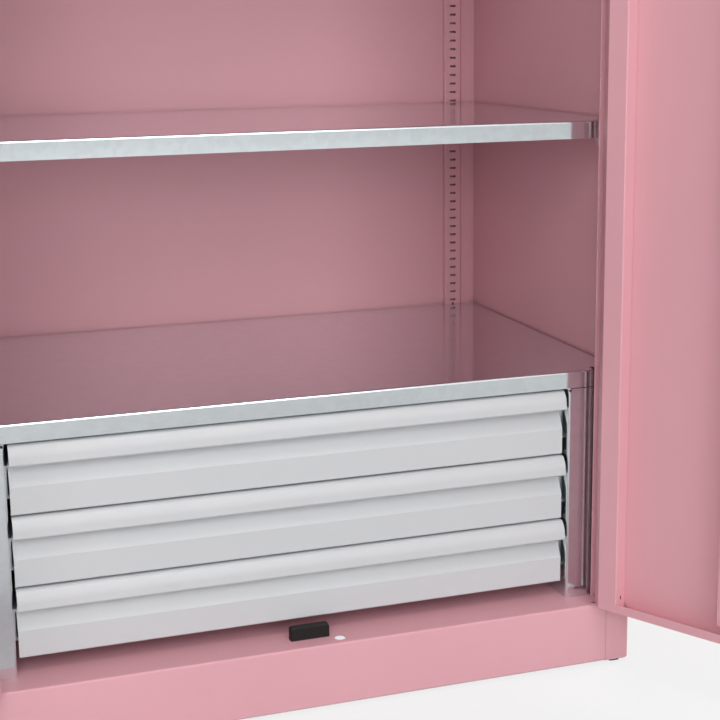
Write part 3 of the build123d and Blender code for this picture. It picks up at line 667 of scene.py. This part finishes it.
@dataclass(frozen=True)
class SoftBox:
    """A square lamp that looks at the cabinet.

    Attributes:
        name: The lamp's name.
        azimuth: Its bearing from the front towards the right, in degrees.
        elevation: Its angle over the aim, in degrees.
        power: Its power in watts.
        mirrored: Whether bright sheet mirrors it.
        side: The length of its sides in metres.
        distance: How far from the aim it stands, in metres.
        aim: The point it looks at, in the row frame.
    """

    name: str
    azimuth: float
    elevation: float
    power: float
    mirrored: bool = True
    side: float = 3.2
    distance: float = 9.2
    aim: Point = (0.15, -0.1, 0.75)

    def build(self) -> bpy.types.Object:
        """Makes the lamp.

        Returns:
            The lamp's object.
        """
        data = bpy.data.lights.new(self.name, "AREA")
        data.shape = "SQUARE"
        data.size = self.side
        data.energy = self.power
        lamp = bpy.data.objects.new(self.name, data)
        lamp.visible_glossy = self.mirrored
        bearing, rise = math.radians(self.azimuth), math.radians(self.elevation)
        outward = Vector((
            math.cos(rise) * math.sin(bearing),
            -math.cos(rise) * math.cos(bearing),
            math.sin(rise),
        ))
        lamp.location = Vector(self.aim) + outward * self.distance
        lamp.rotation_euler = outward.to_track_quat("Z", "Y").to_euler()
        bpy.context.scene.collection.objects.link(lamp)
        return lamp


@dataclass(frozen=True)
class Viewpoint:
    """The photograph's viewing angle.

    Attributes:
        place: Where the camera stands, in the row frame.
        yaw: Its turn to the right of +Y, in degrees.
        pitch: How far it looks down, in degrees.
        roll: Its turn about its own axis, in degrees.
        lens: Focal length in millimetres, on a sensor SENSOR_WIDTH millimetres wide.
        shift: Vertical shift as a share of the frame.
    """

    place: Point = (-0.5339, -2.1275, 0.9491)
    yaw: float = 18.313
    pitch: float = 10.823
    roll: float = -0.71
    lens: float = 72.553
    shift: float = -0.08

    def build(self) -> bpy.types.Object:
        """Makes the camera and sets it as the scene's own.

        Returns:
            The camera's object.
        """
        data = bpy.data.cameras.new("photo_camera")
        data.sensor_width = SENSOR_WIDTH
        data.lens = self.lens
        data.shift_y = self.shift
        camera = bpy.data.objects.new("photo_camera", data)
        turn = Matrix.Rotation(math.radians(-self.yaw), 4, "Z")
        tilt = Matrix.Rotation(math.radians(90.0 - self.pitch), 4, "X")
        roll = Matrix.Rotation(math.radians(self.roll), 4, "Z")
        camera.matrix_world = Matrix.Translation(Vector(self.place)) @ turn @ tilt @ roll
        bpy.context.scene.collection.objects.link(camera)
        bpy.context.scene.camera = camera
        return camera


@dataclass(frozen=True)
class Studio:
    """Plain floor, white surroundings and soft lamps.

    Attributes:
        backdrop: How bright the surroundings look to the camera and in reflections, where 1 is white.
        ambient: Strength of the light from all round.
        floor_tone: The floor's colour, linear.
        floor_veil: The share of the backdrop's white in the floor as the camera sees it.
        floor_sheen: The same share in reflections of the floor, near the object and far from it.
        floor_fade: How far from the middle the floor starts to turn white, and is white, in metres.
        lamps: The lamps.
    """

    backdrop: float = 1.0
    ambient: float = 0.12
    floor_tone: float = 0.55
    floor_veil: float = 0.8
    floor_sheen: tuple[float, float] = (0.0, 0.5)
    floor_fade: tuple[float, float] = (1.5, 8.0)
    lamps: tuple[SoftBox, ...] = (
        SoftBox(
            "near_lamp", -25.0, 6.0, 35.0, mirrored=False, side=1.6, distance=3.4, aim=(0.1, 0.3, 1.45)
        ),
        SoftBox("top_lamp", 10.0, 58.0, 165.0),
        SoftBox("top_left_lamp", -25.0, 58.0, 35.0),
        SoftBox("high_lamp", 10.0, 28.0, 88.0),
        SoftBox("low_lamp", 11.0, 5.0, 160.0, mirrored=False),
        SoftBox("left_lamp", -15.0, 6.0, 66.0, mirrored=False),
        SoftBox("rear_lamp", 180.0, 25.0, 310.0),
        SoftBox("right_side_lamp", 100.0, 25.0, 380.0),
        SoftBox("left_side_lamp", -105.0, 25.0, 380.0),
    )

    AMBIENT_TINT = (0.985, 0.993, 1.0)
    FLOOR_REACH = 30.0
    FLOOR_CLOUDS = Grain(1.2, 3.0)
    FLOOR_SPREAD = 0.004
    FLOOR_SPECULAR = 0.1
    FLOOR_ROUGHNESS = 0.8

    def looked_at(self, tree: bpy.types.NodeTree, direct: float, mirrored: float) -> bpy.types.NodeSocket:
        """A factor for rays that look at a surface instead of lighting something with it.

        Args:
            tree: The tree that needs the factor.
            direct: The factor for camera and transmission rays.
            mirrored: The factor for glossy rays; for all other rays it is 0.

        Returns:
            The socket with the factor.
        """
        path = tree.nodes.new("ShaderNodeLightPath")
        factor = None
        for ray, share in (("Camera", direct), ("Transmission", direct), ("Glossy", mirrored)):
            scaled = tree.nodes.new("ShaderNodeMath")
            scaled.operation = "MULTIPLY"
            scaled.inputs[1].default_value = share
            tree.links.new(path.outputs[f"Is {ray} Ray"], scaled.inputs[0])
            if factor is None:
                factor = scaled.outputs["Value"]
                continue
            larger = tree.nodes.new("ShaderNodeMath")
            larger.operation = "MAXIMUM"
            tree.links.new(factor, larger.inputs[0])
            tree.links.new(scaled.outputs["Value"], larger.inputs[1])
            factor = larger.outputs["Value"]
        return factor

    def surroundings(self) -> None:
        """Sets up surroundings that light the object evenly and look plain white to the camera."""
        world = bpy.data.worlds.new("studio")
        bpy.context.scene.world = world
        world.use_nodes = True
        tree = world.node_tree
        tree.nodes.clear()
        light = tree.nodes.new("ShaderNodeBackground")
        light.inputs["Color"].default_value = (*self.AMBIENT_TINT, 1.0)
        light.inputs["Strength"].default_value = self.ambient
        seen = tree.nodes.new("ShaderNodeBackground")
        seen.inputs["Color"].default_value = (*WHITE, 1.0)
        seen.inputs["Strength"].default_value = self.backdrop
        mix = tree.nodes.new("ShaderNodeMixShader")
        output = tree.nodes.new("ShaderNodeOutputWorld")
        tree.links.new(self.looked_at(tree, 1.0, 1.0), mix.inputs["Fac"])
        tree.links.new(light.outputs["Background"], mix.inputs[1])
        tree.links.new(seen.outputs["Background"], mix.inputs[2])
        tree.links.new(mix.outputs["Shader"], output.inputs["Surface"])

    def faded(self, shader: Shader) -> bpy.types.NodeSocket:
        """The share of white in the floor, which grows to all of it far from the object.

        Args:
            shader: The floor's shader.

        Returns:
            The socket with the share.
        """
        near, far = self.floor_sheen
        away = shader.tree.nodes.new("ShaderNodeVectorMath")
        away.operation = "LENGTH"
        shader.link(shader.place, away.inputs[0])
        reach = shader.tree.nodes.new("ShaderNodeMapRange")
        for name, value in zip(("From Min", "From Max"), self.floor_fade):
            reach.inputs[name].default_value = value
        shader.link(away.outputs["Value"], reach.inputs["Value"])
        distant = shader.tree.nodes.new("ShaderNodeMath")
        distant.operation = "MULTIPLY"
        shader.link(reach.outputs["Result"], distant.inputs[0])
        shader.link(self.looked_at(shader.tree, 1.0, far), distant.inputs[1])
        share = shader.tree.nodes.new("ShaderNodeMath")
        share.operation = "MAXIMUM"
        shader.link(self.looked_at(shader.tree, self.floor_veil, near), share.inputs[0])
        shader.link(distant.outputs["Value"], share.inputs[1])
        return share.outputs["Value"]

    def floor(self) -> bpy.types.Object:
        """A wide pale floor that takes the object's shadow.

        Returns:
            The floor's object.
        """
        mesh = bmesh.new()
        bmesh.ops.create_grid(mesh, x_segments=4, y_segments=4, size=self.FLOOR_REACH)
        data = bpy.data.meshes.new("floor")
        mesh.to_mesh(data)
        mesh.free()
        shader = Shader("pale_floor")
        shader.fixed(Specular_IOR_Level=self.FLOOR_SPECULAR, Roughness=self.FLOOR_ROUGHNESS)
        tone = shader.shaded((self.floor_tone,) * 3, shader.noise(self.FLOOR_CLOUDS), self.FLOOR_SPREAD)
        shader.link(tone, shader.surface.inputs["Base Color"])
        white = shader.tree.nodes.new("ShaderNodeEmission")
        white.inputs["Strength"].default_value = self.backdrop
        mix = shader.tree.nodes.new("ShaderNodeMixShader")
        shader.link(self.faded(shader), mix.inputs["Fac"])
        shader.link(shader.surface.outputs["BSDF"], mix.inputs[1])
        shader.link(white.outputs["Emission"], mix.inputs[2])
        shader.link(mix.outputs["Shader"], shader.output.inputs["Surface"])
        data.materials.append(shader.material)
        floor = bpy.data.objects.new("floor", data)
        bpy.context.scene.collection.objects.link(floor)
        return floor

    def build(self) -> None:
        """Sets up the whole studio."""
        self.surroundings()
        self.floor()
        for lamp in self.lamps:
            lamp.build()
        bpy.context.scene.view_settings.view_transform = "Standard"


def main() -> None:
    """Dresses the cabinet and sets up the studio round it."""
    logging.basicConfig(level=logging.INFO, format="%(name)s: %(message)s")
    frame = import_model()
    finishes = Finishes()
    Cabinet(frame["nodes"], frame["record"], finishes).dress()
    DoorFittings(finishes).build()
    Studio().build()
    Viewpoint().build()


if __name__ == "__main__":
    main()
